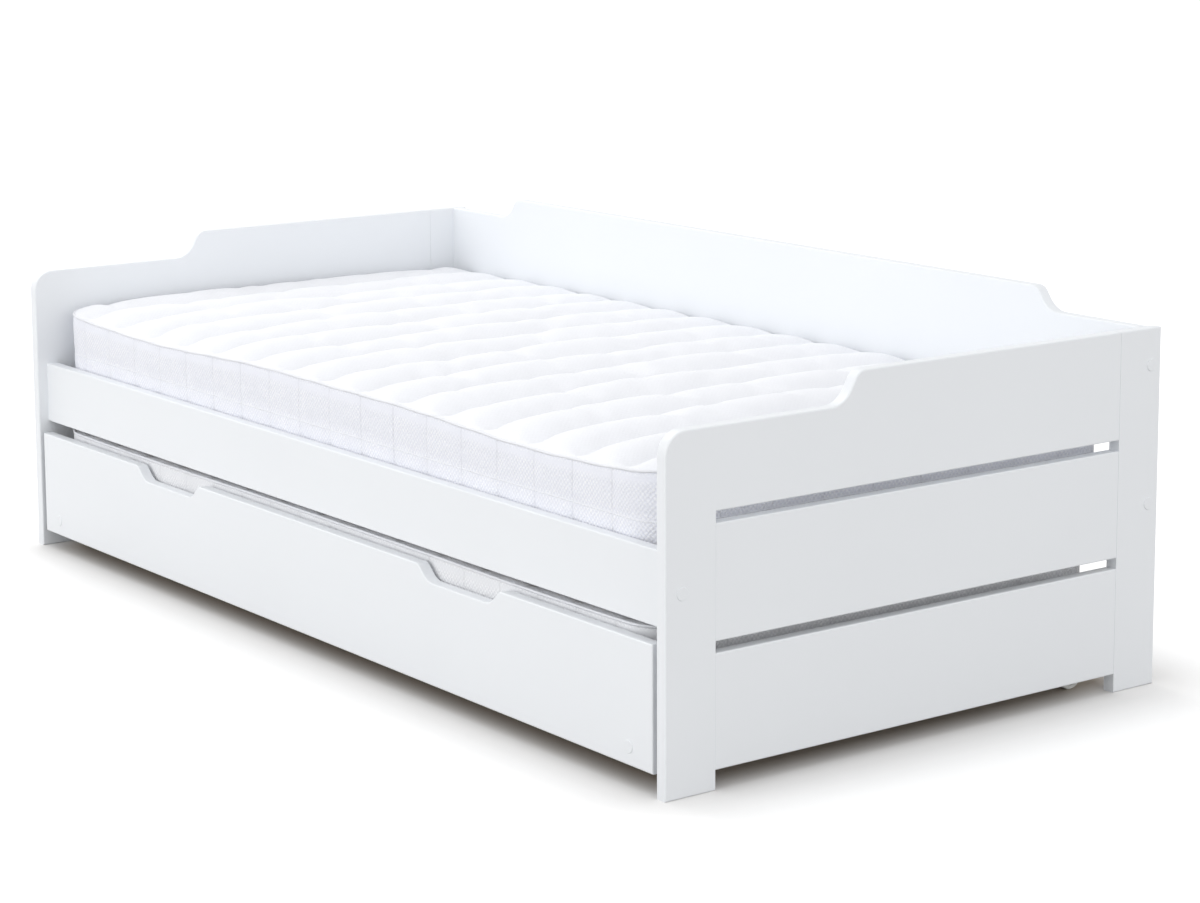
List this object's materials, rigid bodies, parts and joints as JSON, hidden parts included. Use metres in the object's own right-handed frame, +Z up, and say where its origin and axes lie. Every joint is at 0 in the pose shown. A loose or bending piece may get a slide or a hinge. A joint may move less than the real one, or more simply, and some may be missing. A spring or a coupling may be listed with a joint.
{
  "type": "trundle bed",
  "caption": "Low white day bed with board ends, a shaped back panel and a quilted mattress, over a rolling trundle with finger notches and its own mattress.",
  "frame": {"origin": "on the floor under the middle of the bed", "axes": "+X along the bed to its right end, -Y out of the front where the trundle pulls out, +Z up"},
  "size_m": [1.9728, 0.99, 0.619],
  "materials": {
    "white_lacquer": "satin white lacquer over pine boards, edges eased",
    "bare_pine": "planed bare pine",
    "beech_dowel": "fluted beech",
    "mattress_cover": "white knitted ticking, quilted in padded channels with rope piping",
    "cap_plastic": "white moulded plastic",
    "zinc_steel": "bright zinc plated",
    "castor_nylon": "off-white moulded nylon"
  },
  "bodies": {
    "bed_frame": {"left_front_post": "white_lacquer", "left_rear_post": "white_lacquer", "left_bottom_board": "white_lacquer", "left_middle_board": "white_lacquer", "left_top_board": "white_lacquer", "right_front_post": "white_lacquer", "right_rear_post": "white_lacquer", "right_bottom_board": "white_lacquer", "right_middle_board": "white_lacquer", "right_top_board": "white_lacquer", "front_rail": "white_lacquer", "back_rail": "white_lacquer", "back_panel": "white_lacquer", "front_slat_ledger": "bare_pine", "back_slat_ledger": "bare_pine", "bed_slat_01": "bare_pine", "bed_slat_02": "bare_pine", "bed_slat_03": "bare_pine", "bed_slat_04": "bare_pine", "bed_slat_05": "bare_pine", "bed_slat_06": "bare_pine", "bed_slat_07": "bare_pine", "bed_slat_08": "bare_pine", "bed_slat_09": "bare_pine", "bed_slat_10": "bare_pine", "bed_slat_11": "bare_pine", "bed_slat_12": "bare_pine", "bed_mattress": "mattress_cover", "connector_bolts": "zinc_steel", "barrel_nuts": "zinc_steel", "frame_dowels": "beech_dowel", "frame_caps": "cap_plastic"},
    "trundle": {"trundle_front": "white_lacquer", "trundle_back": "white_lacquer", "trundle_side_left": "white_lacquer", "trundle_side_right": "white_lacquer", "trundle_front_ledger": "bare_pine", "trundle_back_ledger": "bare_pine", "trundle_slat_01": "bare_pine", "trundle_slat_02": "bare_pine", "trundle_slat_03": "bare_pine", "trundle_slat_04": "bare_pine", "trundle_slat_05": "bare_pine", "trundle_slat_06": "bare_pine", "trundle_slat_07": "bare_pine", "trundle_slat_08": "bare_pine", "trundle_slat_09": "bare_pine", "trundle_slat_10": "bare_pine", "trundle_mattress": "mattress_cover", "trundle_screws": "zinc_steel", "trundle_caps": "cap_plastic", "castor_axles": "zinc_steel", "castor_bracket_front_left": "zinc_steel", "castor_bracket_front_right": "zinc_steel", "castor_bracket_rear_left": "zinc_steel", "castor_bracket_rear_right": "zinc_steel"},
    "castor_front_left": {"castor_wheel_front_left": "castor_nylon"},
    "castor_front_right": {"castor_wheel_front_right": "castor_nylon"},
    "castor_rear_left": {"castor_wheel_rear_left": "castor_nylon"},
    "castor_rear_right": {"castor_wheel_rear_right": "castor_nylon"}
  },
  "joints": [
    {"name": "trundle_slide", "type": "slide", "parent": "bed_frame", "child": "trundle", "axis": [0, -1, 0], "range_m": [0, 0.95]},
    {"name": "castor_front_left_spin", "type": "hinge", "parent": "trundle", "child": "castor_front_left", "pos_m": [-0.92, -0.424, 0.025], "axis": [1, 0, 0], "continuous": true},
    {"name": "castor_front_right_spin", "type": "hinge", "parent": "trundle", "child": "castor_front_right", "pos_m": [0.92, -0.424, 0.025], "axis": [1, 0, 0], "continuous": true},
    {"name": "castor_rear_left_spin", "type": "hinge", "parent": "trundle", "child": "castor_rear_left", "pos_m": [-0.92, 0.367, 0.025], "axis": [1, 0, 0], "continuous": true},
    {"name": "castor_rear_right_spin", "type": "hinge", "parent": "trundle", "child": "castor_rear_right", "pos_m": [0.92, 0.367, 0.025], "axis": [1, 0, 0], "continuous": true}
  ],
  "couplings": [
    {"joint": "castor_front_left_spin", "follows": "trundle_slide", "rad_per_m": 40},
    {"joint": "castor_front_right_spin", "follows": "trundle_slide", "rad_per_m": 40},
    {"joint": "castor_rear_left_spin", "follows": "trundle_slide", "rad_per_m": 40},
    {"joint": "castor_rear_right_spin", "follows": "trundle_slide", "rad_per_m": 40}
  ]
}
